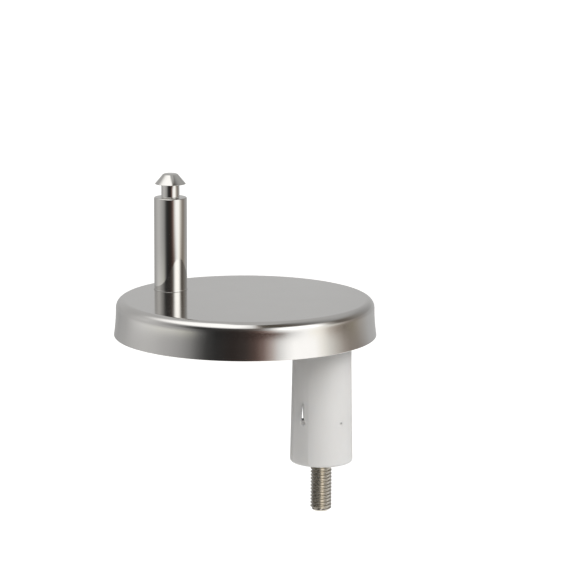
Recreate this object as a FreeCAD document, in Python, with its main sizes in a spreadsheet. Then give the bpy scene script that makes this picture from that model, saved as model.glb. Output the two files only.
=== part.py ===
"""Toilet seat hinge: an upright seat pin on an eccentric base disc, a pressed round cover
cap, and an expanding plug that grips a blind hole in the pan from above.

Row frame, in millimetres: the origin is on the plug's screw axis at the seating plane, the
underside of the base gasket. +Z points up, and +X points from the seat pin to the plug.
"""
import FreeCAD, Part
import os
import re
import Sketcher

DOC = FreeCAD.newDocument("SeatHinge")
SHEET_NAME = "Sizes"
FULL_TURN = 360
RIB_COUNT = 4
HEXAGON_SIDES = 6
OUTSIDE_FLAT_COUNT = 3
INSIDE_FLAT_COUNT = 2

# Driving dimensions: alias, value in millimetres or degrees, what it is.
DIMENSIONS = [
    ("pin_inset", 8.5, "seat pin axis inside the base disc's edge"),
    ("plug_inset", 8.5, "plug axis inside the base disc's edge"),
    ("gasket_thick", 2.0, "soft gasket between disc and pan"),
    ("gasket_inset", 0.5, "gasket edge inside the base disc's edge"),
    ("lip_gap", 0.3, "cap lip above the pan"),
    ("cap_height", 8.4, "cap lip to cap top"),
    ("cap_sheet", 0.6, "thickness of the cap's sheet"),
    ("skirt_radius", 29.5, "outside of the cap's upright skirt"),
    ("cap_corner", 1.3, "outer radius of the drawn top edge"),
    ("lip_flare", 0.5, "how far the lip stands out of the skirt"),
    ("flare_height", 6.0, "height over which the skirt flares"),
    ("cap_hole_gap", 0.1, "cap hole clearance round the pin"),
    ("disc_gap", 0.3, "base disc inside the cap's skirt"),
    ("disc_chamfer", 1.0, "top edge of the base disc"),
    ("rim_wall", 2.5, "upright rim of the base disc"),
    ("floor_thick", 2.0, "floor of the base disc"),
    ("rib_width", 1.6, "ribs across the base disc"),
    ("rib_drop", 1.0, "ribs below the disc's rim"),
    ("hub_radius", 3.5, "round boss at the middle of the disc"),
    ("boss_radius", 6.2, "boss that carries the seat pin"),
    ("well_wall", 2.0, "wall round the screw head's well"),
    ("well_gap", 0.4, "well clearance round the washer"),
    ("pin_radius", 3.8, "seat pin shank"),
    ("pin_length", 21.6, "seat pin shank above the cap"),
    ("pin_relief", 0.2, "undercut of the shank where the cap sits"),
    ("shoulder_chamfer", 0.25, "edge of the shank's top"),
    ("neck_radius", 2.1, "groove that the seat's catch snaps into"),
    ("neck_length", 3.05, "shank top to the head's rim"),
    ("head_radius", 3.6, "rim of the pin's head"),
    ("head_rise", 2.4, "height of the pin's head"),
    ("head_flat", 1.6, "radius of the flat on the pin's head"),
    ("spigot_radius", 3.0, "pin spigot in the base disc"),
    ("spigot_length", 3.2, "depth of the pin spigot"),
    ("spigot_gap", 0.02, "radial fit of the spigot"),
    ("tapping_depth", 8.0, "threaded hole up into the pin"),
    ("drill_point", 1.1, "drill point of the threaded hole"),
    ("pin_screw_radius", 1.95, "countersunk screw that holds the pin"),
    ("pin_screw_length", 9.5, "length of the countersunk screw"),
    ("pin_screw_head", 3.7, "radius of the countersunk head"),
    ("pin_screw_cone", 1.75, "height of the countersunk head"),
    ("pin_screw_tip", 0.5, "chamfer at the tip of the pin screw"),
    ("pin_screw_gap", 0.05, "thread clearance of the pin screw"),
    ("pin_screw_hex", 2.5, "hex socket of the pin screw"),
    ("pin_screw_socket", 1.3, "depth of the pin screw's socket"),
    ("screw_radius", 2.45, "fixing screw thread"),
    ("screw_drop", 38.4, "fixing screw tip below the seating plane"),
    ("screw_tip", 0.9, "chamfer at the tip of the fixing screw"),
    ("screw_gap", 0.3, "screw clearance in the base disc"),
    ("screw_head", 4.75, "radius of the button head"),
    ("screw_head_height", 2.75, "height of the button head"),
    ("screw_head_edge", 0.4, "upright edge of the button head"),
    ("screw_head_flat", 1.9, "radius of the flat on the button head"),
    ("screw_hex", 3.0, "hex socket of the fixing screw"),
    ("screw_socket", 1.6, "depth of the fixing screw's socket"),
    ("washer_radius", 5.0, "flat washer, outside"),
    ("washer_thick", 1.0, "flat washer"),
    ("washer_gap", 0.2, "washer clearance round the screw"),
    ("sleeve_drop", 26.9, "sleeve end below the seating plane"),
    ("sleeve_gap", 0.3, "gasket clearance round the sleeve"),
    ("collar_radius", 6.65, "straight upper part of the sleeve"),
    ("collar_drop", 3.5, "straight part below the seating plane"),
    ("sleeve_end_radius", 7.1, "sleeve at its lower end"),
    ("sleeve_edge", 0.6, "rounding of the lower edge"),
    ("sleeve_bore", 3.0, "bore of the sleeve"),
    ("sleeve_turn", 30.0, "turn of the sleeve's slits about the plug axis"),
    ("slit_offset", 4.3, "slits to either side of the axis"),
    ("slit_top_drop", 4.0, "top of the slits below the seating plane"),
    ("slit_top_width", 0.15, "width of the slits' narrow upper part"),
    ("slit_open_drop", 12.5, "where the slits begin to widen, below the seating plane"),
    ("slit_width", 0.6, "slit width at the round relief hole"),
    ("relief_drop", 18.6, "relief hole below the seating plane"),
    ("relief_radius", 0.7, "round hole that ends each slit"),
    ("nut_across", 8.0, "captive hexagon nut, across flats"),
    ("nut_height", 4.0, "captive nut"),
    ("nut_recess", 0.3, "nut face inside the sleeve's end"),
    ("nut_gap", 0.1, "pocket clearance round the nut"),
    ("nut_thread_gap", 0.05, "thread clearance of the nut"),
    ("nut_chamfer", 0.35, "height of the chamfer on the nut's corners"),
]

sheet = DOC.addObject("Spreadsheet::Sheet", SHEET_NAME)
for row, (alias, value, note) in enumerate(DIMENSIONS, start=1):
    sheet.set(f"A{row}", note)
    sheet.set(f"B{row}", str(value))
    sheet.setAlias(f"B{row}", alias)
DOC.recompute()

SIZE_WORDS = {alias for alias, value, note in DIMENSIONS}


def bound(words):
    """Return an expression in which every size is read from the sheet."""
    def from_sheet(match):
        word = match.group()
        return f"{SHEET_NAME}.{word}" if word in SIZE_WORDS else word
    return re.sub(r"[a-z_]+", from_sheet, words)


def number(words):
    """Return the present value of an expression over the sheet's sizes."""
    result = sheet.evalExpression(bound(words))
    return float(getattr(result, "Value", result))


# Heights and radii that follow from the driving dimensions.
CAP_UNDER = "( lip_gap + cap_height - cap_sheet )"
DISC_HEIGHT = f"( {CAP_UNDER} - gasket_thick )"
DISC_RADIUS = "( skirt_radius - cap_sheet - disc_gap )"
PIN_TO_DISC = f"( {DISC_RADIUS} - pin_inset )"
PLUG_TO_DISC = f"( {DISC_RADIUS} - plug_inset )"
WELL_RADIUS = "( washer_radius + well_gap )"
SLEEVE_LENGTH = "( sleeve_drop + gasket_thick )"
FLARE_RADIUS = "( ( lip_flare * lip_flare + flare_height * flare_height ) / ( 2 * lip_flare ) )"
FLARE_ANGLE = f"asin( flare_height / {FLARE_RADIUS} )"


def new_body(name, x="0", z="0"):
    """Start one sub-part as a body whose place is bound to the sheet."""
    body = DOC.addObject("PartDesign::Body", name)
    body.Label = name
    body.setExpression("Placement.Base.x", bound(x))
    body.setExpression("Placement.Base.z", bound(z))
    return body


def origin_plane(body, role):
    """Return one of the body's own origin planes."""
    return next(item for item in body.Origin.OriginFeatures if item.Role == role)


def new_sketch(body, role, name, height="0"):
    """Attach a sketch to an origin plane of the body, lifted by a bound height."""
    sketch = body.newObject("Sketcher::SketchObject", name)
    sketch.AttachmentSupport = [(origin_plane(body, role), "")]
    sketch.MapMode = "FlatFace"
    sketch.setExpression("AttachmentOffset.Base.z", bound(height))
    return sketch


def pin_point(sketch, geometry, end, x, y):
    """Hold one point of a sketch at a bound place."""
    for kind, words in (("DistanceX", x), ("DistanceY", y)):
        index = sketch.addConstraint(
            Sketcher.Constraint(kind, -1, 1, geometry, end, number(words)))
        sketch.setExpression(f"Constraints[{index}]", bound(words))


def add_circle(sketch, x, y, radius):
    """Draw a circle with a bound centre and radius."""
    centre = FreeCAD.Vector(number(x), number(y), 0)
    geometry = sketch.addGeometry(Part.Circle(centre, FreeCAD.Vector(0, 0, 1), number(radius)))
    pin_point(sketch, geometry, 3, x, y)
    index = sketch.addConstraint(Sketcher.Constraint("Radius", geometry, number(radius)))
    sketch.setExpression(f"Constraints[{index}]", bound(radius))


def add_outline(sketch, corners):
    """Draw a closed outline of straight lines through bound corners."""
    places = [FreeCAD.Vector(number(x), number(y), 0) for x, y in corners]
    lines = [sketch.addGeometry(Part.LineSegment(start, finish))
             for start, finish in zip(places, places[1:] + places[:1])]
    for line, following, corner in zip(lines, lines[1:] + lines[:1], corners):
        sketch.addConstraint(Sketcher.Constraint("Coincident", line, 2, following, 1))
        pin_point(sketch, line, 1, *corner)


def rounded(x, y, across, up, first, last, flats=INSIDE_FLAT_COUNT):
    """Return corners on a rounding about a centre, between two angles, as a few even flats.

    The rounding's half widths are across and up, so it is a circle's where they are equal.
    """
    angles = [f"( {first} + ( {last} - {first} ) * {flat} / {flats} )" for flat in range(flats + 1)]
    return [(f"{x} + {across} * cos({angle})", f"{y} + {up} * sin({angle})") for angle in angles]


def turned(body, name, corners):
    """Revolve an outline about the body's own Z axis."""
    sketch = new_sketch(body, "XZ_Plane", name + "_outline")
    add_outline(sketch, corners)
    feature = body.newObject("PartDesign::Revolution", name)
    feature.Profile = sketch
    feature.ReferenceAxis = (sketch, ["V_Axis"])
    feature.Angle = FULL_TURN
    return feature


def padded(body, name, sketch, height):
    """Raise a sketch by a bound height."""
    feature = body.newObject("PartDesign::Pad", name)
    feature.Profile = sketch
    feature.setExpression("Length", bound(height))
    return feature


def pocketed(body, name, sketch, depth=None, upward=False):
    """Cut a sketch down by a bound depth, or right through."""
    feature = body.newObject("PartDesign::Pocket", name)
    feature.Profile = sketch
    feature.Reversed = upward
    if depth is None:
        feature.Type = "ThroughAll"
    else:
        feature.setExpression("Length", bound(depth))
    return feature


def hexagon(across):
    """Return the corners of a hexagon about the origin, from its width across flats."""
    angles = [side * FULL_TURN // HEXAGON_SIDES for side in range(HEXAGON_SIDES)]
    return [(f"{across} / sqrt(3) * cos({angle} deg)", f"{across} / sqrt(3) * sin({angle} deg)")
            for angle in angles]


def rectangle(x, y, half_width, half_height):
    """Return the corners of a rectangle about a point."""
    left = f"{x} - {half_width}"
    right = f"{x} + {half_width}"
    low = f"{y} - {half_height}"
    high = f"{y} + {half_height}"
    return [(left, low), (right, low), (right, high), (left, high)]


def build_hinge_pin():
    """Turned pin: tapped spigot, shank, catch groove and a head with a sharp rim."""
    body = new_body("hinge_pin", x=f"0 - {PIN_TO_DISC} - {PLUG_TO_DISC}", z=CAP_UNDER)
    shank_top = "( cap_sheet + pin_length )"
    rim = f"( {shank_top} + neck_length )"
    tapped = "( pin_screw_radius + pin_screw_gap )"
    turned(body, "pin_turning", [
        ("0", "tapping_depth + drill_point - spigot_length"),
        (tapped, "tapping_depth - spigot_length"),
        (tapped, "0 - spigot_length"),
        ("spigot_radius", "0 - spigot_length"),
        ("spigot_radius", "0"),
        ("pin_radius - pin_relief", "0"),
        ("pin_radius - pin_relief", "cap_sheet"),
        ("pin_radius", "cap_sheet"),
        ("pin_radius", f"{shank_top} - shoulder_chamfer"),
        ("pin_radius - shoulder_chamfer", shank_top),
        ("neck_radius", shank_top),
        ("neck_radius", rim),
        ("head_radius", rim),
        ("head_flat", f"{rim} + head_rise"),
        ("0", f"{rim} + head_rise"),
    ])
    return body


def build_cover_cap():
    """Pressed cap: flat top, drawn edge, upright skirt and a lip that flares out."""
    body = new_body("cover_cap", x=f"0 - {PLUG_TO_DISC}", z="lip_gap")
    corner = ("skirt_radius - cap_corner", "cap_height - cap_corner")
    bend = "( cap_corner - cap_sheet )"
    flare = (f"skirt_radius + {FLARE_RADIUS}", "flare_height")
    flare_inside = f"( {FLARE_RADIUS} + cap_sheet )"
    turned(body, "cap_drawing", [
        ("0", "cap_height"),
        ("0", "cap_height - cap_sheet"),
        *rounded(*corner, bend, bend, "90 deg", "0 deg"),
        *rounded(*flare, flare_inside, FLARE_RADIUS, "180 deg", f"( 180 deg + {FLARE_ANGLE} )"),
        *rounded(*flare, FLARE_RADIUS, FLARE_RADIUS, f"( 180 deg + {FLARE_ANGLE} )", "180 deg"),
        *rounded(*corner, "cap_corner", "cap_corner", "0 deg", "90 deg", OUTSIDE_FLAT_COUNT),
    ])
    hole = new_sketch(body, "XY_Plane", "cap_hole_ring", "cap_height")
    add_circle(hole, f"0 - {PIN_TO_DISC}", "0", "pin_radius + cap_hole_gap")
    pocketed(body, "cap_hole", hole, "2 * cap_sheet")
    return body


def build_base_disc():
    """Cast dish with ribs, a boss for the seat pin and a well for the screw's head."""
    body = new_body("base_disc", x=f"0 - {PLUG_TO_DISC}", z="gasket_thick")
    turned(body, "dish", [
        ("0", "0"),
        (DISC_RADIUS, "0"),
        (DISC_RADIUS, f"{DISC_HEIGHT} - disc_chamfer"),
        (f"{DISC_RADIUS} - disc_chamfer", DISC_HEIGHT),
        (f"{DISC_RADIUS} - rim_wall", DISC_HEIGHT),
        (f"{DISC_RADIUS} - rim_wall", "floor_thick"),
        ("0", "floor_thick"),
    ])
    rib_plan = new_sketch(body, "XY_Plane", "rib_plan")
    add_outline(rib_plan, rectangle("0", "0", f"( {DISC_RADIUS} - rim_wall / 2 )", "rib_width / 2"))
    rib = padded(body, "rib", rib_plan, f"{DISC_HEIGHT} - rib_drop")
    ribs = body.newObject("PartDesign::PolarPattern", "ribs")
    ribs.Originals = [rib]
    ribs.Axis = (rib_plan, ["N_Axis"])
    ribs.Occurrences = RIB_COUNT
    ribs.Angle = FULL_TURN / 2 * (RIB_COUNT - 1) / RIB_COUNT
    body.Tip = ribs
    bosses = new_sketch(body, "XY_Plane", "boss_plan")
    add_circle(bosses, f"0 - {PIN_TO_DISC}", "0", "boss_radius")
    add_circle(bosses, "0", "0", "hub_radius")
    add_circle(bosses, PLUG_TO_DISC, "0", f"{WELL_RADIUS} + well_wall")
    padded(body, "bosses", bosses, DISC_HEIGHT)
    well = new_sketch(body, "XY_Plane", "well_plan", DISC_HEIGHT)
    add_circle(well, PLUG_TO_DISC, "0", WELL_RADIUS)
    pocketed(body, "well", well, f"{DISC_HEIGHT} - floor_thick")
    socket = new_sketch(body, "XY_Plane", "socket_plan", DISC_HEIGHT)
    add_circle(socket, f"0 - {PIN_TO_DISC}", "0", "spigot_radius + spigot_gap")
    pocketed(body, "spigot_socket", socket, "spigot_length")
    holes = new_sketch(body, "XY_Plane", "hole_plan", DISC_HEIGHT)
    add_circle(holes, PLUG_TO_DISC, "0", "screw_radius + screw_gap")
    add_circle(holes, f"0 - {PIN_TO_DISC}", "0", "pin_screw_radius + screw_gap")
    pocketed(body, "screw_holes", holes)
    sink = body.newObject("PartDesign::SubtractiveCone", "countersink")
    sink.AttachmentSupport = [(origin_plane(body, "XY_Plane"), "")]
    sink.MapMode = "FlatFace"
    sink.setExpression("AttachmentOffset.Base.x", bound(f"0 - {PIN_TO_DISC}"))
    sink.setExpression("Radius1", bound("pin_screw_head + pin_screw_gap"))
    sink.setExpression("Radius2", bound("pin_screw_radius + pin_screw_gap"))
    sink.setExpression("Height", bound("pin_screw_cone"))
    return body


def build_base_gasket():
    """Soft pad under the disc, with a round window for the sleeve."""
    body = new_body("base_gasket", x=f"0 - {PLUG_TO_DISC}")
    plan = new_sketch(body, "XY_Plane", "pad_plan")
    add_circle(plan, "0", "0", f"{DISC_RADIUS} - gasket_inset")
    add_circle(plan, PLUG_TO_DISC, "0", "collar_radius + sleeve_gap")
    padded(body, "pad", plan, "gasket_thick")
    return body


def build_pin_screw():
    """Countersunk screw that draws the pin's spigot into the disc from below."""
    body = new_body("pin_screw", x=f"0 - {PIN_TO_DISC} - {PLUG_TO_DISC}", z="gasket_thick")
    turned(body, "countersunk_turning", [
        ("0", "0"),
        ("pin_screw_head", "0"),
        ("pin_screw_radius", "pin_screw_cone"),
        ("pin_screw_radius", "pin_screw_length - pin_screw_tip"),
        ("pin_screw_radius - pin_screw_tip", "pin_screw_length"),
        ("0", "pin_screw_length"),
    ])
    socket = new_sketch(body, "XY_Plane", "pin_screw_hexagon")
    add_outline(socket, hexagon("pin_screw_hex"))
    pocketed(body, "pin_screw_recess", socket, "pin_screw_socket", upward=True)
    return body


def build_fixing_screw():
    """Button-head screw that reaches down through the plug and out of its end."""
    body = new_body("fixing_screw", z="gasket_thick + floor_thick + washer_thick")
    tip = "( 0 - screw_drop - gasket_thick - floor_thick - washer_thick )"
    turned(body, "button_turning", [
        ("0", tip),
        ("screw_radius - screw_tip", tip),
        ("screw_radius", f"{tip} + screw_tip"),
        ("screw_radius", "0"),
        ("screw_head", "0"),
        *rounded("screw_head_flat", "screw_head_edge", "( screw_head - screw_head_flat )",
                 "( screw_head_height - screw_head_edge )", "0 deg", "90 deg", OUTSIDE_FLAT_COUNT),
        ("0", "screw_head_height"),
    ])
    socket = new_sketch(body, "XY_Plane", "screw_hexagon", "screw_head_height")
    add_outline(socket, hexagon("screw_hex"))
    pocketed(body, "screw_recess", socket, "screw_socket")
    return body


def build_screw_washer():
    """Flat washer on the floor of the well."""
    body = new_body("screw_washer", z="gasket_thick + floor_thick")
    ring = new_sketch(body, "XY_Plane", "washer_ring")
    add_circle(ring, "0", "0", "washer_radius")
    add_circle(ring, "0", "0", "screw_radius + washer_gap")
    padded(body, "washer", ring, "washer_thick")
    return body


def turned_body(name, z):
    """Start a body that is turned about the plug axis with the sleeve's slits."""
    body = new_body(name, z=z)
    body.Placement = FreeCAD.Placement(
        FreeCAD.Vector(), FreeCAD.Rotation(FreeCAD.Vector(0, 0, 1), number("sleeve_turn")))
    body.setExpression("Placement.Rotation.Angle", bound("sleeve_turn"))
    return body


def build_expansion_sleeve():
    """Soft moulded sleeve: two slits that widen down to a round hole each, and a nut pocket."""
    body = turned_body("expansion_sleeve", "gasket_thick")
    turned(body, "sleeve_moulding", [
        ("sleeve_bore", "0"),
        ("sleeve_bore", f"0 - {SLEEVE_LENGTH}"),
        *rounded("sleeve_end_radius - sleeve_edge", f"sleeve_edge - {SLEEVE_LENGTH}",
                 "sleeve_edge", "sleeve_edge", "( 0 deg - 90 deg )", "0 deg"),
        ("collar_radius", "0 - gasket_thick - collar_drop"),
        ("collar_radius", "0"),
    ])
    slit_top = "( 0 - gasket_thick - slit_top_drop )"
    slit_open = "( 0 - gasket_thick - slit_open_drop )"
    slit_end = "( 0 - gasket_thick - relief_drop )"
    slits = new_sketch(body, "XZ_Plane", "slit_plan")
    ends = new_sketch(body, "XZ_Plane", "relief_plan")
    for side in ("slit_offset", "0 - slit_offset"):
        add_outline(slits, [
            (f"{side} - slit_width / 2", slit_end),
            (f"{side} + slit_width / 2", slit_end),
            (f"{side} + slit_top_width / 2", slit_open),
            (f"{side} + slit_top_width / 2", slit_top),
            (f"{side} - slit_top_width / 2", slit_top),
            (f"{side} - slit_top_width / 2", slit_open),
        ])
        add_circle(ends, side, slit_end, "relief_radius")
    for name, sketch in (("slits", slits), ("relief_holes", ends)):
        pocketed(body, name, sketch).Midplane = True
    pocket_plan = new_sketch(body, "XY_Plane", "nut_pocket_plan", f"0 - {SLEEVE_LENGTH}")
    add_outline(pocket_plan, hexagon("( nut_across + 2 * nut_gap )"))
    pocketed(body, "nut_pocket", pocket_plan, "nut_recess + nut_height + nut_gap", upward=True)
    return body


def build_captive_nut():
    """Hexagon nut with chamfered corners, held from turning in the sleeve's end."""
    body = turned_body("captive_nut", "nut_recess - sleeve_drop")
    plan = new_sketch(body, "XY_Plane", "nut_plan")
    add_outline(plan, hexagon("nut_across"))
    padded(body, "nut_blank", plan, "nut_height")
    corner = "( nut_across / sqrt(3) )"
    bevels = new_sketch(body, "XZ_Plane", "nut_bevels")
    for face, edge in (("0", "nut_chamfer"), ("nut_height", "nut_height - nut_chamfer")):
        outside = f"{corner} + nut_chamfer"
        add_outline(bevels, [("nut_across / 2", face), (outside, face), (outside, edge), (corner, edge)])
    chamfers = body.newObject("PartDesign::Groove", "corner_chamfers")
    chamfers.Profile = bevels
    chamfers.ReferenceAxis = (bevels, ["V_Axis"])
    chamfers.Angle = FULL_TURN
    thread = new_sketch(body, "XY_Plane", "thread_plan", "nut_height")
    add_circle(thread, "0", "0", "screw_radius + nut_thread_gap")
    pocketed(body, "thread_hole", thread)
    return body


BUILDERS = [build_hinge_pin, build_cover_cap, build_base_disc, build_base_gasket, build_pin_screw,
            build_fixing_screw, build_screw_washer, build_expansion_sleeve, build_captive_nut]

nodes = [build() for build in BUILDERS]
DOC.recompute()

for item in DOC.Objects:
    if {"Invalid", "Error"} & set(item.State):
        raise RuntimeError(f"{item.Name} failed: {item.State}")
for node in nodes:
    if node.Shape.isNull() or not node.Shape.isValid() or len(node.Shape.Solids) != 1:
        raise RuntimeError(f"{node.Label} is not one valid solid")

os.makedirs("parts", exist_ok=True)
for node in nodes:
    node.Shape.exportStep(f"parts/{node.Label}.step")
    box = node.Shape.optimalBoundingBox()
    print(f"{node.Label:18s} {node.Shape.Volume:9.1f} mm3  "
          f"x {box.XMin:7.2f} {box.XMax:7.2f}  y {box.YMin:7.2f} {box.YMax:7.2f}  "
          f"z {box.ZMin:7.2f} {box.ZMax:7.2f}")
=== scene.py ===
"""Toilet seat hinge: the finish of every surface, and the studio that it stands in.

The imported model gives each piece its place. The seat pin, the cover cap, the expanding sleeve
and the fixing screw are made again here with their fine edges and thread; the other pieces
keep their solids and get a finish. Shapes are worked in millimetres and stored in metres.
"""
import logging
import math
from dataclasses import dataclass, field
from enum import Enum

import bmesh
import bpy
from mathutils import Matrix, Vector

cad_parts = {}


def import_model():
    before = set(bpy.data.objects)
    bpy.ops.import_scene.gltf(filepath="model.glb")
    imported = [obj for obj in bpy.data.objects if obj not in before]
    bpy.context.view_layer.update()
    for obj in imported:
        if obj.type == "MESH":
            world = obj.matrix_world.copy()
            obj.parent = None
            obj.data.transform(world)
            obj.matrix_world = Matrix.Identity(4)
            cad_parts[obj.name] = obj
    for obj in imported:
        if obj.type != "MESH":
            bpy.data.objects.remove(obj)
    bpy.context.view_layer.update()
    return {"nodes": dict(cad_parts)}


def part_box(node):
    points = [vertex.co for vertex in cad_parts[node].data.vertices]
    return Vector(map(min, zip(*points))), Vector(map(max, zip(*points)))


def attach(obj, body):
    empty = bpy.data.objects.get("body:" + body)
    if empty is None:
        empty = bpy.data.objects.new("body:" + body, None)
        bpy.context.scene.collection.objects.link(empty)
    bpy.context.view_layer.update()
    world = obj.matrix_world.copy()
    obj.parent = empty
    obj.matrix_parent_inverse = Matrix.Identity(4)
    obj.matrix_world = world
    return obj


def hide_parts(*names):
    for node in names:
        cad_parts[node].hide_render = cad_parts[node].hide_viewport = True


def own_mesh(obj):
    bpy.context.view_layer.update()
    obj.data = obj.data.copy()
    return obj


MM = 0.001
FULL_TURN = 2 * math.pi
TURN_STEPS = 160
ROUND_STEPS = 8
HEXAGON_SIDES = 6
SHARP_ANGLE = math.radians(32)
# Points this near are one, in millimetres: on a turned shape, and after a cut.
MERGE_GAP = 0.002
CUT_GAP = 0.0005
# How far a cutter reaches past the end of what it cuts, in millimetres.
CLEARANCE = 1.0
# How much a large face leads the normals at its corners, from 50 for its share to 100.
NORMAL_WEIGHT = 90
# The Mix node repeats its sockets' names for each kind of value; these numbers are for colours.
MIX_SHARE, MIX_FIRST, MIX_SECOND, MIX_RESULT = 0, 6, 7, 2
# A noise lies mostly between these values, which a roughness is spread over.
NOISE_LOW, NOISE_HIGH = 0.3, 0.7

log = logging.getLogger("seat_hinge")


def srgb(code: str) -> tuple[float, float, float, float]:
    """Turn an sRGB hex colour into the linear colour that Blender's sockets hold.

    Args:
        code: a colour such as "#c8c6c2".

    Returns:
        Linear red, green, blue and an alpha of one.
    """
    values = [int(code[start:start + 2], 16) / 255 for start in (1, 3, 5)]
    linear = [value / 12.92 if value <= 0.04045 else ((value + 0.055) / 1.055) ** 2.4
              for value in values]
    return (linear[0], linear[1], linear[2], 1.0)


def add_node(tree: bpy.types.NodeTree, kind: str, values: dict[str | int, object] | None = None,
             links: dict[str | int, bpy.types.NodeSocket] | None = None,
             **settings: object) -> bpy.types.Node:
    """Add one node to a tree, with its settings, input values and incoming links.

    Args:
        tree: the material's node tree.
        kind: Blender's name of the node type.
        values: input name or number to its constant.
        links: input name or number to the socket that feeds it.
        settings: properties of the node itself.

    Returns:
        The new node.
    """
    node = tree.nodes.new(kind)
    for name, value in settings.items():
        setattr(node, name, value)
    for name, value in (values or {}).items():
        node.inputs[name].default_value = value
    for name, socket in (links or {}).items():
        tree.links.new(socket, node.inputs[name])
    return node


def per_metre(size: float) -> float:
    """Return the texture scale whose features are about this many millimetres."""
    return 1 / (size * MM)


def new_surface(name: str) -> tuple[bpy.types.Material, bpy.types.Node, bpy.types.NodeSocket]:
    """Start a material with its shader.

    Args:
        name: what the material is called.

    Returns:
        The material, its shader and the Object coordinates that its patterns lie on.
    """
    made = bpy.data.materials.new(name)
    made.use_nodes = True
    place = add_node(made.node_tree, "ShaderNodeTexCoord").outputs["Object"]
    return made, made.node_tree.nodes["Principled BSDF"], place


def coat(made: bpy.types.Material, colours: tuple[str, str], cloud: bpy.types.Node,
         marks: bpy.types.Node, polish: tuple[float, float], relief: float) -> None:
    """Spread two colours over one pattern, and the polish and a relief over another.

    Args:
        made: the material.
        colours: the dark one and the light one, in sRGB hex.
        cloud: the pattern that mixes the colours.
        marks: the pattern that changes the polish and stands up.
        polish: the roughness where the marks are low and where they are high.
        relief: how far the marks stand up, in millimetres.
    """
    tree = made.node_tree
    shader = tree.nodes["Principled BSDF"]
    dark, light = (srgb(colour) for colour in colours)
    smooth, rough = polish
    tone = add_node(tree, "ShaderNodeMix", {MIX_FIRST: dark, MIX_SECOND: light},
                    {MIX_SHARE: cloud.outputs[0]}, data_type="RGBA")
    gloss = add_node(tree, "ShaderNodeMapRange",
                     {"From Min": NOISE_LOW, "From Max": NOISE_HIGH,
                      "To Min": smooth, "To Max": rough},
                     {"Value": marks.outputs[0]})
    bump = add_node(tree, "ShaderNodeBump", {"Strength": 1.0, "Distance": relief * MM},
                    {"Height": marks.outputs[0]})
    tree.links.new(tone.outputs[MIX_RESULT], shader.inputs["Base Color"])
    tree.links.new(gloss.outputs[0], shader.inputs["Roughness"])
    tree.links.new(bump.outputs[0], shader.inputs["Normal"])


class Grain(Enum):
    """Which way the marks of a metal finish run, as the fineness of their pattern in X, Y, Z."""

    TURNED = (1.0, 1.0, 60.0)
    DRAWN = (1.0, 1.0, 1.0)
    ROLLED = (1.0, 1.0, 12.0)


@dataclass(frozen=True)
class MetalFinish:
    """A bare metal whose polish varies a little over the surface. Sizes in millimetres.

    A broad cloud mixes the two colours. The marks that the tool left change the roughness
    and stand up a little, and run the way that the grain says.
    """

    name: str
    light: str
    dark: str
    smooth: float
    rough: float
    grain: Grain
    grain_size: float
    grain_height: float
    cloud_size: float = 9.0

    def material(self) -> bpy.types.Material:
        """Build the finish as a material on Object coordinates.

        Returns:
            The material.
        """
        made, shader, place = new_surface(self.name)
        shader.inputs["Metallic"].default_value = 1.0
        tree = made.node_tree
        cloud = add_node(tree, "ShaderNodeTexNoise",
                         {"Scale": per_metre(self.cloud_size), "Detail": 4.0},
                         {"Vector": place})
        along = add_node(tree, "ShaderNodeMapping", {"Scale": self.grain.value},
                         {"Vector": place})
        # The mapping makes this broad pattern fine again on the way that the grain crosses.
        broad = per_metre(self.grain_size * max(self.grain.value))
        marks = add_node(tree, "ShaderNodeTexNoise", {"Scale": broad, "Detail": 3.0},
                         {"Vector": along.outputs[0]})
        coat(made, (self.dark, self.light), cloud, marks, (self.smooth, self.rough),
             self.grain_height)
        return made


@dataclass(frozen=True)
class MilkyPlastic:
    """Natural polyethylene, injection moulded: milky, waxy, and lit through by strong light.

    Sizes and the reach of the light inside it are in millimetres.
    """

    name: str = "natural_polyethylene_moulded"
    light: str = "#eeedec"
    dark: str = "#e4e3e1"
    ior: float = 1.51
    shine: float = 0.35
    glow: float = 0.85
    glow_reach: tuple[float, float, float] = (2.6, 2.5, 2.4)
    smooth: float = 0.48
    rough: float = 0.60
    flow_size: float = 5.0
    flow_stretch: tuple[float, float, float] = (1.0, 1.0, 0.35)
    skin_size: float = 0.35
    skin_height: float = 0.012

    def material(self) -> bpy.types.Material:
        """Build the plastic with a faint flow pattern and an eroded mould skin.

        Returns:
            The material.
        """
        made, shader, place = new_surface(self.name)
        shader.inputs["IOR"].default_value = self.ior
        shader.inputs["Specular IOR Level"].default_value = self.shine
        shader.inputs["Subsurface Weight"].default_value = self.glow
        shader.inputs["Subsurface Radius"].default_value = self.glow_reach
        shader.inputs["Subsurface Scale"].default_value = MM
        tree = made.node_tree
        along = add_node(tree, "ShaderNodeMapping", {"Scale": self.flow_stretch},
                         {"Vector": place})
        flow = add_node(tree, "ShaderNodeTexNoise",
                        {"Scale": per_metre(self.flow_size), "Detail": 3.0},
                        {"Vector": along.outputs[0]})
        skin = add_node(tree, "ShaderNodeTexNoise",
                        {"Scale": per_metre(self.skin_size), "Detail": 2.0},
                        {"Vector": place})
        coat(made, (self.dark, self.light), flow, skin, (self.smooth, self.rough),
             self.skin_height)
        return made


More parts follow.
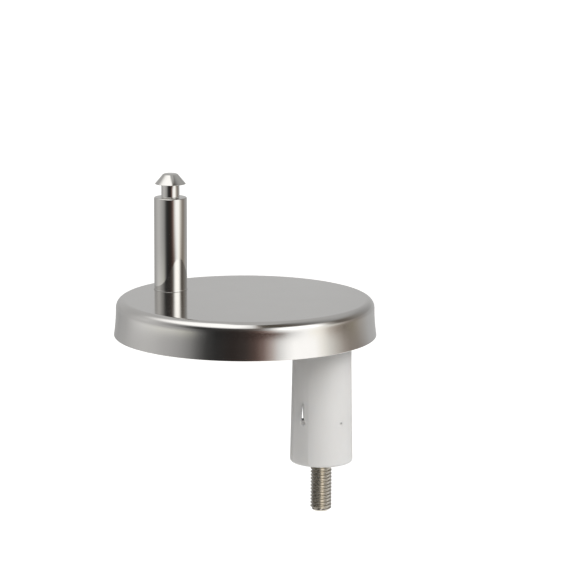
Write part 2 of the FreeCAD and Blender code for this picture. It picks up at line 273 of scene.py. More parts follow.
@dataclass(frozen=True)
class SoftPad:
    """Black foamed elastomer, cut from sheet: matt, with the fine cells of its skin."""

    name: str = "black_foamed_elastomer"
    # The pad's black, and the painted shade that fills each cell's hollow.
    light: str = "#3a3a3b"
    dark: str = "#232324"
    roughness: float = 0.82
    cell_size: float = 0.45
    cell_depth: float = 0.05
    cell_strength: float = 0.6

    def material(self) -> bpy.types.Material:
        """Build the pad's material, with painted shade: each cell darkest in its sunken middle.

        Returns:
            The material.
        """
        made, shader, place = new_surface(self.name)
        shader.inputs["Roughness"].default_value = self.roughness
        tree = made.node_tree
        cells = add_node(tree, "ShaderNodeTexVoronoi", {"Scale": per_metre(self.cell_size)},
                         {"Vector": place})
        # Painted shade: the colour darkens towards each cell's middle, where the bump sinks it.
        tone = add_node(tree, "ShaderNodeMix",
                        {MIX_FIRST: srgb(self.dark), MIX_SECOND: srgb(self.light)},
                        {MIX_SHARE: cells.outputs[0]}, data_type="RGBA")
        bump = add_node(tree, "ShaderNodeBump",
                        {"Strength": self.cell_strength, "Distance": self.cell_depth * MM},
                        {"Height": cells.outputs[0]})
        tree.links.new(tone.outputs[MIX_RESULT], shader.inputs["Base Color"])
        tree.links.new(bump.outputs[0], shader.inputs["Normal"])
        return made


# Austenitic stainless sheet, drawn over a punch and buffed: a soft mirror with faint haze.
CAP_STEEL = MetalFinish("stainless_sheet_buffed", light="#d2d0cd", dark="#cbc9c6",
                        smooth=0.085, rough=0.13,
                        grain=Grain.DRAWN, grain_size=0.5, grain_height=0.0012)
# Austenitic stainless bar, turned and buffed: a sharp mirror with faint rings left by the tool.
PIN_STEEL = MetalFinish("stainless_bar_turned", light="#cfcdc9", dark="#c8c6c2",
                        smooth=0.03, rough=0.07,
                        grain=Grain.TURNED, grain_size=0.12, grain_height=0.0008)
# Stainless fastener wire with a rolled thread: duller, slightly warm, with drag marks.
SCREW_STEEL = MetalFinish("stainless_fastener_rolled", light="#c2bdb4", dark="#a8a39a",
                          smooth=0.16, rough=0.26,
                          grain=Grain.ROLLED, grain_size=0.10, grain_height=0.002,
                          cloud_size=1.6)
# Zinc alloy, die cast and tumbled: grey and grainy, with no mirror left.
CAST_ZINC = MetalFinish("zinc_alloy_die_cast", light="#a3a4a6", dark="#8a8b8e",
                        smooth=0.42, rough=0.58,
                        grain=Grain.DRAWN, grain_size=0.45, grain_height=0.03,
                        cloud_size=5.0)


@dataclass(frozen=True)
class Corner:
    """One corner of a turned outline, in millimetres: radius, height, and its rounding."""

    radius: float
    height: float
    rounding: float = 0.0


def turned(corners: list[Corner], closed: bool = False,
           steps: int = TURN_STEPS) -> bmesh.types.BMesh:
    """Round an outline's corners and spin it once about Z.

    Args:
        corners: the outline, from one end to the other.
        closed: whether the last corner joins the first, as on a ring.
        steps: how many flats the full turn has.

    Returns:
        The closed solid.
    """
    shape = bmesh.new()
    points = [shape.verts.new((corner.radius, 0, corner.height)) for corner in corners]
    ways = list(zip(points, points[1:]))
    if closed:
        ways.append((points[-1], points[0]))
    for way in ways:
        shape.edges.new(way)
    for point, corner in zip(points, corners):
        if corner.rounding:
            bmesh.ops.bevel(shape, geom=[point], offset=corner.rounding, offset_type="OFFSET",
                            segments=ROUND_STEPS, profile=0.5, affect="VERTICES", material=-1)
    bmesh.ops.spin(shape, geom=shape.verts[:] + shape.edges[:], cent=(0, 0, 0), axis=(0, 0, 1),
                   angle=FULL_TURN, steps=steps, use_merge=True)
    bmesh.ops.remove_doubles(shape, verts=shape.verts[:], dist=MERGE_GAP)
    bmesh.ops.recalc_face_normals(shape, faces=shape.faces[:])
    return shape


def prism(sides: int, radius: float, low: float, high: float) -> bmesh.types.BMesh:
    """Make an upright prism about Z, such as a round hole or a hexagon, to cut with.

    Args:
        sides: how many sides it has.
        radius: from its axis to its corners, in millimetres.
        low: the height of its foot, in millimetres.
        high: the height of its top, in millimetres.

    Returns:
        The closed prism.
    """
    shape = bmesh.new()
    bmesh.ops.create_cone(shape, cap_ends=True, segments=sides, radius1=radius, radius2=radius,
                          depth=high - low)
    bmesh.ops.translate(shape, verts=shape.verts[:], vec=(0, 0, (low + high) / 2))
    return shape


def scratch_object(shape: bmesh.types.BMesh, name: str) -> bpy.types.Object:
    """Put a shape in a new object in the scene.

    Args:
        shape: the shape, used up here.
        name: what the object and its mesh are called.

    Returns:
        The object.
    """
    mesh = bpy.data.meshes.new(name)
    shape.to_mesh(mesh)
    shape.free()
    made = bpy.data.objects.new(name, mesh)
    bpy.context.scene.collection.objects.link(made)
    return made


class Carving(Enum):
    """What further shapes do to a solid."""

    CUT = "DIFFERENCE"
    JOIN = "UNION"


def carved(shape: bmesh.types.BMesh, others: list[bmesh.types.BMesh],
           carving: Carving = Carving.CUT) -> bmesh.types.BMesh:
    """Cut shapes out of a solid, or join them to it.

    Args:
        shape: the solid, used up here.
        others: the closed shapes to cut or join, used up here.
        carving: whether they are cut or joined.

    Returns:
        The new solid.
    """
    blank = scratch_object(shape, "blank")
    tools = [scratch_object(other, "cutter") for other in others]
    for tool in tools:
        step = blank.modifiers.new("cut", "BOOLEAN")
        step.object = tool
        step.operation = carving.value
        step.solver = "EXACT"
    bpy.context.view_layer.update()
    evaluated = blank.evaluated_get(bpy.context.evaluated_depsgraph_get())
    result = bmesh.new()
    result.from_mesh(evaluated.to_mesh())
    evaluated.to_mesh_clear()
    for spare in [blank, *tools]:
        mesh = spare.data
        bpy.data.objects.remove(spare)
        bpy.data.meshes.remove(mesh)
    bmesh.ops.remove_doubles(result, verts=result.verts[:], dist=CUT_GAP)
    bmesh.ops.dissolve_degenerate(result, edges=result.edges[:], dist=CUT_GAP)
    return result


@dataclass(frozen=True)
class Piece:
    """What a finished piece is called, and what it stands for and rides on."""

    name: str
    node: str
    body: str
    slot: str

    def finish(self, shape: bmesh.types.BMesh, material: bpy.types.Material,
               place: tuple[float, float, float] = (0, 0, 0)) -> bpy.types.Object:
        """Turn a shape in millimetres into the finished object at the origin.

        Args:
            shape: the solid, used up here.
            material: its finish.
            place: where its own origin lies, in millimetres.

        Returns:
            The object, riding on its body in place of its solid.
        """
        for edge in shape.edges:
            edge.smooth = edge.calc_face_angle(0.0) < SHARP_ANGLE
        for face in shape.faces:
            face.smooth = True
        made = scratch_object(shape, self.name)
        made.data.transform(Matrix.Scale(MM, 4) @ Matrix.Translation(place))
        made.data.materials.append(material)
        weighted = made.modifiers.new("even_normals", "WEIGHTED_NORMAL")
        weighted.keep_sharp = True
        weighted.weight = NORMAL_WEIGHT
        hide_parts(self.node)
        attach(made, self.body)
        log.info("%s: %d faces, rides on %s", made.name, len(made.data.polygons), self.body)
        return made


def in_mm(point: Vector) -> Vector:
    """Return a point of the frame in millimetres."""
    return point / MM


@dataclass
class SeatPin:
    """Turned pin: spigot, relief in the cap's sheet, foot ring, shank, catch groove and head.

    Sizes are in millimetres. shoulder and rim are heights in the frame.
    """

    shank: float = 3.8
    spigot: float = 3.0
    spigot_length: float = 3.2
    spigot_edge: float = 0.3
    seat_edge: float = 0.1
    cap_sheet: float = 0.6
    relief: float = 0.2
    foot_gap: float = 0.02
    foot_ring: float = 0.08
    ring_height: float = 0.22
    shoulder: float = 30.3
    shoulder_edge: float = 0.3
    neck: float = 2.1
    rim: float = 33.35
    head: float = 3.6
    rim_edge: float = 0.12
    flat: float = 1.6
    flat_edge: float = 0.35
    fillet: float = 0.15
    piece: Piece = Piece("turned_seat_pin", "hinge_pin", "foot", "polished_steel")

    def build(self) -> bpy.types.Object:
        """Turn the pin where its solid stands.

        Returns:
            The finished pin.
        """
        low, high = (in_mm(corner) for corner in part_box("hinge_pin"))
        seat = low.z + self.spigot_length
        foot = seat + self.cap_sheet + self.foot_gap
        shape = turned([
            Corner(0, low.z),
            Corner(self.spigot, low.z, self.spigot_edge),
            Corner(self.spigot, seat),
            Corner(self.shank - self.relief, seat, self.seat_edge),
            Corner(self.shank - self.relief, foot - self.relief),
            Corner(self.shank + self.foot_ring, foot),
            Corner(self.shank + self.foot_ring, foot + self.foot_ring),
            Corner(self.shank, foot + self.ring_height),
            Corner(self.shank, self.shoulder, self.shoulder_edge),
            Corner(self.neck, self.shoulder, self.fillet),
            Corner(self.neck, self.rim, self.fillet),
            Corner(self.head, self.rim, self.rim_edge),
            Corner(self.flat, high.z, self.flat_edge),
            Corner(0, high.z),
        ])
        return self.piece.finish(shape, PIN_STEEL.material(), ((low.x + high.x) / 2, 0, 0))


@dataclass
class CoverCap:
    """Drawn sheet cap: flat top, rounded edge, upright skirt and flared lip.

    Sizes are in millimetres. flare_middle is the height of the flare above the lip's foot.
    """

    sheet: float = 0.6
    lip_flare: float = 0.5
    corner: float = 2.0
    inner_corner: float = 0.9
    flare_middle: float = 3.0
    flare_bend: float = 2.9
    lip_edge: float = 0.12
    hole_gap: float = 0.1
    hole_steps: int = 96
    piece: Piece = Piece("drawn_cover_cap", "cover_cap", "cap", "polished_cap")

    def build(self, pin: SeatPin) -> bpy.types.Object:
        """Draw the cap where its solid stands, and pierce it for the pin.

        Args:
            pin: the pin that comes through it.

        Returns:
            The finished cap.
        """
        low, high = (in_mm(corner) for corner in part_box("cover_cap"))
        centre = (low.x + high.x) / 2
        lip = (high.x - low.x) / 2
        skirt = lip - self.lip_flare
        inner = skirt - self.sheet
        flare = low.z + self.flare_middle
        shape = turned([
            Corner(0, high.z),
            Corner(skirt, high.z, self.corner),
            Corner(skirt, flare, self.flare_bend),
            Corner(lip, low.z, self.lip_edge),
            Corner(lip - self.sheet, low.z, self.lip_edge),
            Corner(inner, flare, self.flare_bend),
            Corner(inner, high.z - self.sheet, self.inner_corner),
            Corner(0, high.z - self.sheet),
        ], steps=2 * TURN_STEPS)
        pin_low, pin_high = (in_mm(corner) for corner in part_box("hinge_pin"))
        hole = prism(self.hole_steps, pin.shank + self.hole_gap,
                     high.z - 2 * self.sheet, high.z + self.sheet)
        offset = (pin_low.x + pin_high.x) / 2 - centre
        bmesh.ops.translate(hole, verts=hole.verts[:], vec=(offset, 0, 0))
        return self.piece.finish(carved(shape, [hole]), CAP_STEEL.material(), (centre, 0, 0))


@dataclass
class ExpansionSleeve:
    """Soft moulded sleeve: one slit that gapes, one that is closed, and the nut's pocket.

    Sizes are in millimetres and turns in degrees. Heights are those of the frame, at the
    front wall, where a slit is highest.
    """

    collar: float = 6.65
    collar_edge: float = 0.15
    collar_end: float = -3.5
    collar_bend: float = 0.8
    end: float = 7.1
    end_edge: float = 0.6
    bore: float = 3.0
    bore_edge: float = 0.1
    turn: float = 30.0
    slit_offset: float = 4.3
    slit_top: float = -4.0
    slit_open: float = -12.4
    slit_end: float = -16.4
    slit_width: float = 0.50
    slit_tip: float = 0.035
    slit_slope: float = 0.19
    score_width: float = 0.14
    score_depth: float = 0.22
    relief: float = -17.0
    relief_radii: tuple[float, float] = (0.55, 0.25)
    relief_depth: float = 0.35
    relief_steps: int = 32
    pocket_across: float = 8.2
    pocket_depth: float = 5.0
    flat_turn: float = -46.4
    flat_high: float = 6.72
    flat_low: float = 6.60
    nut_travel: float = 4.0
    piece: Piece = Piece("moulded_expansion_sleeve", "expansion_sleeve", "plug", "white_plug")

    def skin(self) -> float:
        """Return how far the sleeve's skin lies from its middle plane where the slits are."""
        return math.sqrt(self.collar ** 2 - self.slit_offset ** 2)

    def reach(self) -> float:
        """Return a length that passes right through the sleeve."""
        return 4 * self.end

    def slit(self) -> bmesh.types.BMesh:
        """Make the slit that gapes, a wedge through both walls that slopes down.

        Returns:
            The wedge to cut out.
        """
        shape = bmesh.new()
        bmesh.ops.create_cube(shape, size=1)
        for corner in shape.verts:
            upper = corner.co.z > 0
            width = self.slit_tip if upper else self.slit_width
            across = corner.co.y * self.reach()
            drop = self.slit_slope * (across + self.skin())
            corner.co = (corner.co.x * width - self.slit_offset, across,
                         (self.slit_open if upper else self.slit_end) - drop)
        return shape

    def score(self, side: int, face: int) -> bmesh.types.BMesh:
        """Make the closed stretch of a slit, which shows as a shallow line.

        Args:
            side: -1 for the slit that gapes further down, 1 for the closed one.
            face: 1 for the wall towards +Y, -1 for the one towards -Y.

        Returns:
            The bar to cut out.
        """
        shape = bmesh.new()
        bmesh.ops.create_cube(shape, size=1)
        for corner in shape.verts:
            outer = self.skin() + (self.collar if corner.co.y > 0 else -self.score_depth)
            corner.co = (side * self.slit_offset + corner.co.x * self.score_width, face * outer,
                         self.slit_top if corner.co.z > 0 else self.relief)
        bmesh.ops.recalc_face_normals(shape, faces=shape.faces[:])
        return shape

    def relief_hole(self, side: int, quarter: int) -> bmesh.types.BMesh:
        """Make the shallow round recess that ends a slit.

        Args:
            side: -1 for the slit that gapes, 1 for the closed one.
            quarter: 1 lays the recess in the wall towards -Y, -1 in the one towards +Y.

        Returns:
            The round bar to cut out.
        """
        radius = self.relief_radii[0 if side < 0 else 1]
        shape = prism(self.relief_steps, radius, self.skin() - self.relief_depth,
                      self.skin() + self.collar)
        turn = Matrix.Rotation(math.radians(90 * quarter), 4, "X")
        bmesh.ops.transform(shape, matrix=turn, verts=shape.verts[:])
        # A slit slopes down from the front wall to the one behind, twice the skin's distance off.
        drop = self.slit_slope * self.skin() * (0 if quarter > 0 else 2)
        bmesh.ops.translate(shape, verts=shape.verts[:],
                            vec=(side * self.slit_offset, 0, self.relief - drop))
        return shape

    def parting_flat(self, turn: float, low: float) -> bmesh.types.BMesh:
        """Make the block that leaves a flat below a relief, where the mould parts.

        Args:
            turn: 0 for the flat at the front, 180 for the one behind.
            low: the height of the sleeve's end.

        Returns:
            The block to cut away.
        """
        shape = bmesh.new()
        bmesh.ops.create_cube(shape, size=1)
        for corner in shape.verts:
            upper = corner.co.z > 0
            inner = self.flat_high if upper else self.flat_low
            corner.co = (inner if corner.co.x < 0 else self.reach() / 2,
                         corner.co.y * self.reach(),
                         self.relief if upper else low - CLEARANCE)
        # The block lies towards +X, which a quarter turn back brings to the front.
        bmesh.ops.rotate(shape, verts=shape.verts[:], cent=(0, 0, 0),
                         matrix=Matrix.Rotation(math.radians(self.flat_turn + turn - 90), 3, "Z"))
        return shape

    def build(self) -> bpy.types.Object:
        """Mould the sleeve where its solid stands.

        Returns:
            The finished sleeve.
        """
        low, high = (in_mm(corner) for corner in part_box("expansion_sleeve"))
        shape = turned([
            Corner(self.bore, high.z),
            Corner(self.collar, high.z, self.collar_edge),
            Corner(self.collar, self.collar_end, self.collar_bend),
            Corner(self.end, low.z, self.end_edge),
            Corner(self.bore, low.z, self.bore_edge),
        ], closed=True)
        cuts = [self.slit()]
        for side in (-1, 1):
            for way in (-1, 1):
                cuts.append(self.score(side, way))
                cuts.append(self.relief_hole(side, way))
        cuts += [self.parting_flat(turn, low.z) for turn in (0, 180)]
        cuts.append(prism(HEXAGON_SIDES, self.pocket_across / math.sqrt(3),
                          low.z - CLEARANCE, low.z + self.pocket_depth))
        solid = carved(shape, cuts)
        bmesh.ops.rotate(solid, verts=solid.verts[:], cent=(0, 0, 0),
                         matrix=Matrix.Rotation(math.radians(self.turn), 3, "Z"))
        made = self.piece.finish(solid, MilkyPlastic().material())
        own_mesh(made)
        return made


@dataclass
class FixingScrew:
    """Button-head screw with a rolled metric thread.

    Sizes are in millimetres. thread_top and under_head are heights in the frame.
    """

    crest: float = 2.40
    root: float = 2.05
    pitch: float = 0.8
    crest_flat: float = 0.16
    root_flat: float = 0.14
    thread_top: float = 2.0
    thread_steps: int = 48
    thread_gap: float = 0.008
    tip_edge: float = 0.6
    head: float = 4.75
    head_edge: float = 0.4
    head_flat: float = 1.9
    head_steps: int = 96
    hexagon: float = 3.0
    socket: float = 1.6
    under_head: float = 5.0
    fillet: float = 0.2
    lower_round: float = 0.12
    upper_round: float = 0.15
    dome_round: float = 0.9
    flat_round: float = 0.3
    piece: Piece = Piece("threaded_fixing_screw", "fixing_screw", "screw", "screw_steel")

    def thread(self, tip: float) -> bmesh.types.BMesh:
        """Roll the thread up from the tip, cut both ends square and taper the tip.

        Args:
            tip: the height of the screw's tip.

        Returns:
            The closed threaded rod.
        """
        shape = bmesh.new()
        flank = (self.pitch - self.crest_flat - self.root_flat) / 2
        start = tip - self.pitch
        outline = [(self.root, 0), (self.root, self.root_flat),
                   (self.crest, self.root_flat + flank),
                   (self.crest, self.root_flat + flank + self.crest_flat),
                   (self.root, self.pitch)]
        points = [shape.verts.new((radius, 0, start + height)) for radius, height in outline]
        for way in zip(points, points[1:]):
            shape.edges.new(way)
        turns = math.ceil((self.thread_top - start) / self.pitch) + 1
        bmesh.ops.spin(shape, geom=shape.verts[:] + shape.edges[:], cent=(0, 0, 0),
                       axis=(0, 0, 1), dvec=(0, 0, self.pitch / self.thread_steps),
                       angle=FULL_TURN * turns, steps=turns * self.thread_steps)
        bmesh.ops.remove_doubles(shape, verts=shape.verts[:], dist=self.thread_gap)
        for height, up in ((tip, -1), (self.thread_top, 1)):
            bmesh.ops.bisect_plane(shape, geom=shape.verts[:] + shape.edges[:] + shape.faces[:],
                                   plane_co=(0, 0, height), plane_no=(0, 0, up),
                                   clear_outer=True)
        bmesh.ops.holes_fill(shape, edges=[edge for edge in shape.edges if edge.is_boundary])
        for point in shape.verts:
            radius = math.hypot(point.co.x, point.co.y)
            limit = self.crest - self.tip_edge + (point.co.z - tip)
            if radius > limit:
                point.co.x *= limit / radius
                point.co.y *= limit / radius
        bmesh.ops.recalc_face_normals(shape, faces=shape.faces[:])
        return shape

    def build(self) -> bpy.types.Object:
        """Make the screw where its solid stands.

        Returns:
            The finished screw.
        """
        low, high = (in_mm(corner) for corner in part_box("fixing_screw"))
        dome = high.z - self.under_head - self.head_edge
        head = turned([
            Corner(0, self.thread_top - self.pitch),
            Corner(self.root, self.thread_top - self.pitch),
            Corner(self.root, self.under_head, self.fillet),
            Corner(self.head, self.under_head, self.lower_round),
            Corner(self.head, self.under_head + self.head_edge, self.upper_round),
            Corner(self.head - dome / 2, high.z - dome / 4, self.dome_round),
            Corner(self.head_flat, high.z, self.flat_round),
            Corner(0, high.z),
        ], steps=self.head_steps)
        socket = prism(HEXAGON_SIDES, self.hexagon / math.sqrt(3), high.z - self.socket,
                       high.z + CLEARANCE)
        rod = self.thread(low.z)
        solid = carved(carved(head, [rod], Carving.JOIN), [socket])
        return self.piece.finish(solid, SCREW_STEEL.material())


@dataclass
class BareSolids:
    """The pieces under the cap, which keep their solids and get a finish."""

    finishes: dict[str, MetalFinish | SoftPad] = field(default_factory=lambda: {
        "base_disc": CAST_ZINC,
        "base_gasket": SoftPad(),
        "pin_screw": SCREW_STEEL,
        "screw_washer": SCREW_STEEL,
        "captive_nut": SCREW_STEEL,
    })

    def dress(self, nodes: dict[str, bpy.types.Object]) -> None:
        """Give each solid the material of its finish.

        Args:
            nodes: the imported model's solids by name.
        """
        for name, finish in self.finishes.items():
            solid = nodes[name]
            solid.data.materials.clear()
            solid.data.materials.append(finish.material())
            log.info("%s: keeps its solid, finish %s", name, finish.name)


@dataclass(frozen=True)
class Tone:
    """One tone of the light tent: where it stands round the object, its light and its hue.

    The turn is in degrees from the camera's direction, positive to the camera's right.
    """

    turn: float
    strength: float
    hue: str = "#ffffff"

    def spot(self) -> float:
        """Return where the tone stands, from nought at the back round to one."""
        return self.turn / 360 + 0.5

    def colour(self, peak: float) -> tuple[float, float, float, float]:
        """Work out the tone as a colour no brighter than white.

        Args:
            peak: the strength that white stands for.

        Returns:
            Linear red, green, blue and alpha.
        """
        red, green, blue, alpha = srgb(self.hue)
        share = self.strength / peak
        return (red * share, green * share, blue * share, alpha)


@dataclass(frozen=True)
class Belt:
    """One belt of the light tent: the heights that it fades in over, and its tones.

    The heights are in degrees above the object. Below the first the belt under it shows.
    """

    fade_from: float
    fade_to: float
    tones: tuple[Tone, ...]


@dataclass(frozen=True)
class LightTent:
    """White cloth tent round the table, lit in patches, which only reflections show.

    At the object's height it is pale at the left, black in front, brightest at the right and
    grey behind. A second bright patch is high at the left, and the cloth below is dark but
    for one glow in front and one at the right. The tones run smoothly into one another, as
    they do on cloth. It stands near, as the tones on pin and skirt only agree at about this
    radius. Sizes are in metres, and peak is a strength that no tone is above.
    """

    foot: float = -0.13
    radius: float = 0.22
    peak: float = 2.3
    wall_steps: int = 12
    turn_steps: int = 72
    merge_gap: float = 0.0001
    belts: tuple[Belt, ...] = (
        Belt(-90, -89, (
            Tone(-180, 0.30), Tone(-130, 0.17), Tone(-60, 0.15), Tone(-35, 0.14),
            Tone(-18, 0.26), Tone(-4, 0.90, "#fff8ea"), Tone(5, 2.20, "#fff8ea"),
            Tone(22, 2.10, "#fff8ea"), Tone(36, 0.90, "#fffaf0"), Tone(62, 0.60),
            Tone(80, 1.20), Tone(105, 1.50), Tone(130, 0.80), Tone(180, 0.30))),
        Belt(-17, -12, (
            Tone(-180, 0.50), Tone(-139, 0.44), Tone(-121, 0.56), Tone(-108, 0.80),
            Tone(-97, 0.96), Tone(-78, 0.98, "#fffffa"), Tone(-66, 0.90, "#fffffa"),
            Tone(-57, 0.77, "#fffff6"), Tone(-49, 0.51, "#fffff6"), Tone(-42, 0.21),
            Tone(-35, 0.07), Tone(-28, 0.03), Tone(-8, 0.035, "#ffe4dc"),
            Tone(5, 0.055, "#ffccc0"), Tone(14, 0.10, "#ffc8ba"), Tone(22, 0.19, "#ffd6ca"),
            Tone(29, 0.42, "#fff4ee"), Tone(36, 0.92), Tone(44, 1.24), Tone(51, 1.44),
            Tone(61, 1.44, "#fffdf6"), Tone(69, 1.22, "#fffbf4"), Tone(77, 0.72, "#fff6ec"),
            Tone(86, 0.43, "#fff0e2"), Tone(96, 0.28, "#fff0e0"), Tone(108, 0.34, "#fff2de"),
            Tone(121, 0.47, "#fff8f0"), Tone(138, 0.56), Tone(180, 0.50))),
        Belt(-9, -3, (
            Tone(-180, 0.55), Tone(-140, 0.50), Tone(-122, 0.55), Tone(-105, 0.68),
            Tone(-93, 0.72), Tone(-83, 0.68), Tone(-74, 0.60), Tone(-66, 0.54),
            Tone(-58, 0.46), Tone(-50, 0.33), Tone(-43, 0.17), Tone(-36, 0.07),
            Tone(-28, 0.04), Tone(-14, 0.04, "#ffe8e0"), Tone(-3, 0.06, "#ffe8e0"),
            Tone(5, 0.12, "#ffd6ca"), Tone(12, 0.28, "#ffdcd2"), Tone(19, 0.62, "#ffeee8"),
            Tone(26, 1.02), Tone(33, 1.36), Tone(40, 1.55), Tone(60, 1.54),
            Tone(68, 1.30, "#fffdf8"), Tone(77, 0.94, "#fffdf8"), Tone(86, 0.68, "#fffaf2"),
            Tone(94, 0.48, "#fff4ea"), Tone(102, 0.36, "#fff2e6"), Tone(114, 0.35, "#fff4ea"),
            Tone(138, 0.50), Tone(180, 0.55))),
        Belt(4, 12, (
            Tone(-180, 0.60), Tone(-150, 0.57), Tone(-128, 0.56), Tone(-117, 0.57),
            Tone(-107, 0.68), Tone(-94, 0.78), Tone(-83, 0.66), Tone(-75, 0.52),
            Tone(-68, 0.42), Tone(-61, 0.33), Tone(-54, 0.19), Tone(-47, 0.09),
            Tone(-40, 0.055), Tone(-12, 0.065, "#fff4f0"), Tone(-5, 0.10, "#fff0ea"),
            Tone(3, 0.15, "#ffece4"), Tone(10, 0.28, "#fff2ec"), Tone(18, 0.75),
            Tone(26, 1.60), Tone(35, 2.20), Tone(54, 2.25), Tone(61, 2.05), Tone(70, 1.35),
            Tone(80, 0.50, "#fffaf2"), Tone(90, 0.18, "#fff4ea"), Tone(102, 0.20, "#fff2e6"),
            Tone(116, 0.30, "#fff8f0"), Tone(144, 0.42), Tone(180, 0.60))),
        Belt(26, 46, (
            Tone(-180, 0.58), Tone(-134, 0.60), Tone(-120, 0.66), Tone(-108, 1.10),
            Tone(-96, 1.50), Tone(-75, 1.65), Tone(-14, 1.65), Tone(-5, 1.35), Tone(2, 1.15),
            Tone(8, 0.50, "#fff6ee"), Tone(14, 0.14, "#fff4e2"), Tone(30, 0.11, "#fff4e2"),
            Tone(42, 0.13, "#fff2e0"), Tone(58, 0.19, "#fff6ee"), Tone(75, 0.26),
            Tone(92, 0.36), Tone(108, 0.46), Tone(140, 0.55), Tone(180, 0.58))),
        Belt(74, 82, (Tone(-180, 0.60), Tone(180, 0.60))),
    )

    def material(self, heading: float) -> bpy.types.Material:
        """Make the glowing cloth, whose tones follow the direction from the object.

        Args:
            heading: the camera's direction, in degrees from -Y towards +X.

        Returns:
            The material.
        """
        made = bpy.data.materials.new("lit_tent_cloth")
        made.use_nodes = True
        tree = made.node_tree
        tree.nodes.clear()
        place = add_node(tree, "ShaderNodeTexCoord").outputs["Object"]
        facing = add_node(tree, "ShaderNodeMapping",
                          {"Rotation": (0, 0, math.radians(90 - heading))}, {"Vector": place})
        around = add_node(tree, "ShaderNodeTexGradient", links={"Vector": facing.outputs[0]},
                          gradient_type="RADIAL").outputs["Fac"]
        toward = add_node(tree, "ShaderNodeVectorMath", links={0: place}, operation="NORMALIZE")
        parts = add_node(tree, "ShaderNodeSeparateXYZ", links={0: toward.outputs[0]})
        height = parts.outputs["Z"]
        shown = None
        for belt in self.belts:
            ramp = add_node(tree, "ShaderNodeValToRGB", links={0: around})
            stops = ramp.color_ramp.elements
            while len(stops) < len(belt.tones):
                stops.new(1.0)
            for stop, tone in zip(stops, belt.tones):
                stop.position = tone.spot()
                stop.color = tone.colour(self.peak)
            if shown is None:
                shown = ramp.outputs["Color"]
                continue
            fade = add_node(tree, "ShaderNodeMapRange",
                            {"From Min": math.sin(math.radians(belt.fade_from)),
                             "From Max": math.sin(math.radians(belt.fade_to))},
                            {"Value": height}, interpolation_type="SMOOTHSTEP")
            mixed = add_node(tree, "ShaderNodeMix",
                             links={MIX_SHARE: fade.outputs[0], MIX_FIRST: shown,
                                    MIX_SECOND: ramp.outputs["Color"]},
                             data_type="RGBA")
            shown = mixed.outputs[MIX_RESULT]
        lit = add_node(tree, "ShaderNodeEmission", {"Strength": self.peak}, {"Color": shown})
        add_node(tree, "ShaderNodeOutputMaterial", links={"Surface": lit.outputs[0]})
        return made

    def build(self, heading: float) -> bpy.types.Object:
        """Spin the tent's wall and roof from one edge.

        Args:
            heading: the camera's direction, in degrees from -Y towards +X.

        Returns:
            The tent.
        """
        shape = bmesh.new()
        points = [shape.verts.new((self.radius, 0, self.foot))]
        for step in range(self.wall_steps + 1):
            rise = math.radians(90 * step / self.wall_steps)
            points.append(shape.verts.new((self.radius * math.cos(rise), 0,
                                           self.radius * math.sin(rise))))
        for way in zip(points, points[1:]):
            shape.edges.new(way)
        bmesh.ops.spin(shape, geom=shape.verts[:] + shape.edges[:], cent=(0, 0, 0),
                       axis=(0, 0, 1), angle=FULL_TURN, steps=self.turn_steps, use_merge=True)
        bmesh.ops.remove_doubles(shape, verts=shape.verts[:], dist=self.merge_gap)
        for face in shape.faces:
            face.smooth = True
        made = scratch_object(shape, "light_tent")
        made.data.materials.append(self.material(heading))
        made.visible_camera = False
        made.visible_diffuse = False
        made.visible_shadow = False
        return made


@dataclass(frozen=True)
class Softbox:
    """A soft round lamp. Degrees from the camera's side, metres and watts."""

    name: str = "front_softbox"
    turn: float = 40.0
    tilt: float = 50.0
    distance: float = 1.0
    size: float = 0.9
    power: float = 6.2


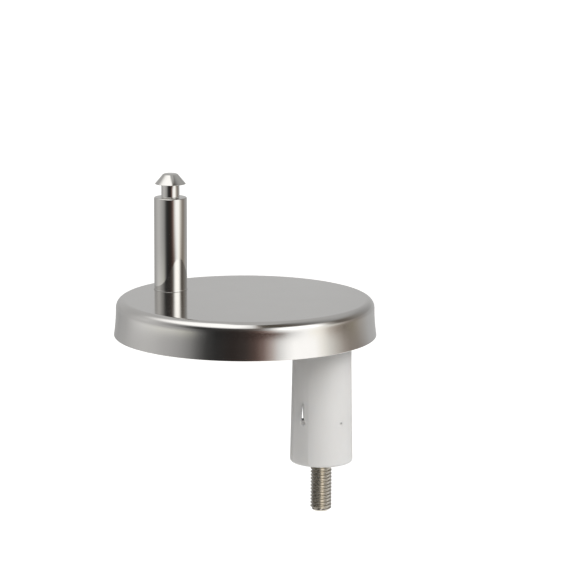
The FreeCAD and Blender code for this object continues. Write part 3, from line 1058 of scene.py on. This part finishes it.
@dataclass
class Studio:
    """Pale round floor and backdrop, light tent, lamp and camera. Metres and degrees.

    fill is the room's light on the object, and shown_white is what the paper adds where it
    is seen. The lens is in millimetres.
    """

    floor: float = -0.30
    backdrop: float = 1.60
    backdrop_height: float = 0.30
    round_steps: int = 96
    paper: str = "#e9e8e6"
    white: str = "#ffffff"
    fill: float = 0.50
    shown_white: float = 0.72
    camera_turn: float = 29.65
    camera_tilt: float = 10.85
    camera_roll: float = 0.30
    camera_distance: float = 0.600
    focal_length: float = 163.24
    near_clip: float = 0.01
    aim_right: float = 0.01019
    aim_up: float = 0.00172
    softbox: Softbox = Softbox()
    tent: LightTent = LightTent()

    def direction(self, turn: float, tilt: float = 0.0) -> Vector:
        """Work out the way from the object to something in the studio.

        Args:
            turn: degrees from the camera's side, positive to the camera's right.
            tilt: degrees above the level.

        Returns:
            The unit vector.
        """
        azimuth = math.radians(self.camera_turn + turn)
        rise = math.radians(tilt)
        return Vector((math.sin(azimuth) * math.cos(rise), -math.cos(azimuth) * math.cos(rise),
                       math.sin(rise)))

    def shown_rays(self, tree: bpy.types.NodeTree) -> bpy.types.NodeSocket:
        """Tell the rays that show something from those that only light the object.

        Args:
            tree: the tree of the material or the world.

        Returns:
            One for rays from the camera, off metal and through glass, and else nought.
        """
        rays = add_node(tree, "ShaderNodeLightPath")
        seen = add_node(tree, "ShaderNodeMath",
                        links={0: rays.outputs["Is Camera Ray"],
                               1: rays.outputs["Is Glossy Ray"]},
                        operation="ADD")
        shown = add_node(tree, "ShaderNodeMath",
                         links={0: seen.outputs[0], 1: rays.outputs["Is Transmission Ray"]},
                         operation="ADD", use_clamp=True)
        return shown.outputs[0]

    def pale(self) -> bpy.types.Material:
        """Make the pale paper of floor and backdrop, which shows white and keeps a shadow.

        Returns:
            The material.
        """
        made = bpy.data.materials.new("pale_backdrop_paper")
        made.use_nodes = True
        tree = made.node_tree
        tree.nodes.clear()
        paper = add_node(tree, "ShaderNodeBsdfDiffuse", {"Color": srgb(self.paper)})
        strength = add_node(tree, "ShaderNodeMath", {1: self.shown_white},
                            {0: self.shown_rays(tree)}, operation="MULTIPLY")
        lit = add_node(tree, "ShaderNodeEmission", {"Color": srgb(self.white)},
                       {"Strength": strength.outputs[0]})
        both = add_node(tree, "ShaderNodeAddShader",
                        links={0: paper.outputs[0], 1: lit.outputs[0]})
        add_node(tree, "ShaderNodeOutputMaterial", links={"Surface": both.outputs[0]})
        return made

    def room(self) -> bpy.types.World:
        """Make the soft room light from all round, which shows white past the backdrop.

        Returns:
            The world.
        """
        made = bpy.data.worlds.new("soft_room")
        made.use_nodes = True
        tree = made.node_tree
        sky = tree.nodes["Background"]
        sky.inputs["Color"].default_value = srgb(self.white)
        strength = add_node(tree, "ShaderNodeMapRange", {"To Min": self.fill, "To Max": 1.0},
                            {"Value": self.shown_rays(tree)})
        tree.links.new(strength.outputs[0], sky.inputs["Strength"])
        return made

    def hang_softbox(self) -> bpy.types.Object:
        """Hang the lamp so that it faces the object and no metal shows it.

        Returns:
            The lamp.
        """
        data = bpy.data.lights.new(self.softbox.name, "AREA")
        data.shape = "DISK"
        data.size = self.softbox.size
        data.energy = self.softbox.power
        made = bpy.data.objects.new(self.softbox.name, data)
        bpy.context.scene.collection.objects.link(made)
        back = self.direction(self.softbox.turn, self.softbox.tilt)
        made.location = back * self.softbox.distance
        made.rotation_euler = back.to_track_quat("Z", "Y").to_euler()
        made.visible_glossy = False
        made.visible_camera = False
        return made

    def lay_paper(self) -> None:
        """Lay the round floor and stand the backdrop round it."""
        paper = self.pale()
        ground = bmesh.new()
        bmesh.ops.create_circle(ground, cap_ends=True, segments=self.round_steps,
                                radius=self.backdrop)
        bmesh.ops.translate(ground, verts=ground.verts[:], vec=(0, 0, self.floor))
        wall = bmesh.new()
        foot = wall.verts.new((self.backdrop, 0, self.floor))
        top = wall.verts.new((self.backdrop, 0, self.backdrop_height))
        edge = wall.edges.new((foot, top))
        bmesh.ops.spin(wall, geom=[foot, top, edge], cent=(0, 0, 0), axis=(0, 0, 1),
                       angle=FULL_TURN, steps=self.round_steps, use_merge=True)
        for shape, name in ((ground, "floor"), (wall, "backdrop")):
            made = scratch_object(shape, name)
            made.data.materials.append(paper)

    def build(self) -> None:
        """Set up floor, backdrop, tent, lamp, world and camera."""
        self.lay_paper()
        self.tent.build(self.camera_turn)
        self.hang_softbox()
        bpy.context.scene.world = self.room()
        self.place_camera()
        log.info("studio: floor, backdrop, tent, lamp and camera are set")

    def place_camera(self) -> None:
        """Stand the camera where the photo was taken from, aimed beside the cap's top."""
        low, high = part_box("cover_cap")
        disc = Vector(((low.x + high.x) / 2, 0, high.z))
        back = self.direction(0, self.camera_tilt)
        level = self.direction(90)
        rise = back.cross(level)
        roll = math.radians(self.camera_roll)
        right = level * math.cos(roll) + rise * math.sin(roll)
        up = rise * math.cos(roll) - level * math.sin(roll)
        aim = disc + right * self.aim_right + up * self.aim_up
        data = bpy.data.cameras.new("photo_camera")
        data.lens = self.focal_length
        data.clip_start = self.near_clip
        made = bpy.data.objects.new("photo_camera", data)
        bpy.context.scene.collection.objects.link(made)
        axes = Matrix((right, up, back)).transposed().to_4x4()
        made.matrix_world = Matrix.Translation(aim + back * self.camera_distance) @ axes
        bpy.context.scene.camera = made


def main() -> None:
    """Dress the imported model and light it."""
    logging.basicConfig(level=logging.INFO, format="%(message)s")
    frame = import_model()
    pin = SeatPin()
    pin.build()
    CoverCap().build(pin)
    ExpansionSleeve().build()
    FixingScrew().build()
    BareSolids().dress(frame["nodes"])
    Studio().build()
    bpy.context.scene.view_settings.view_transform = "Standard"
    bpy.context.view_layer.update()


if __name__ == "__main__":
    main()
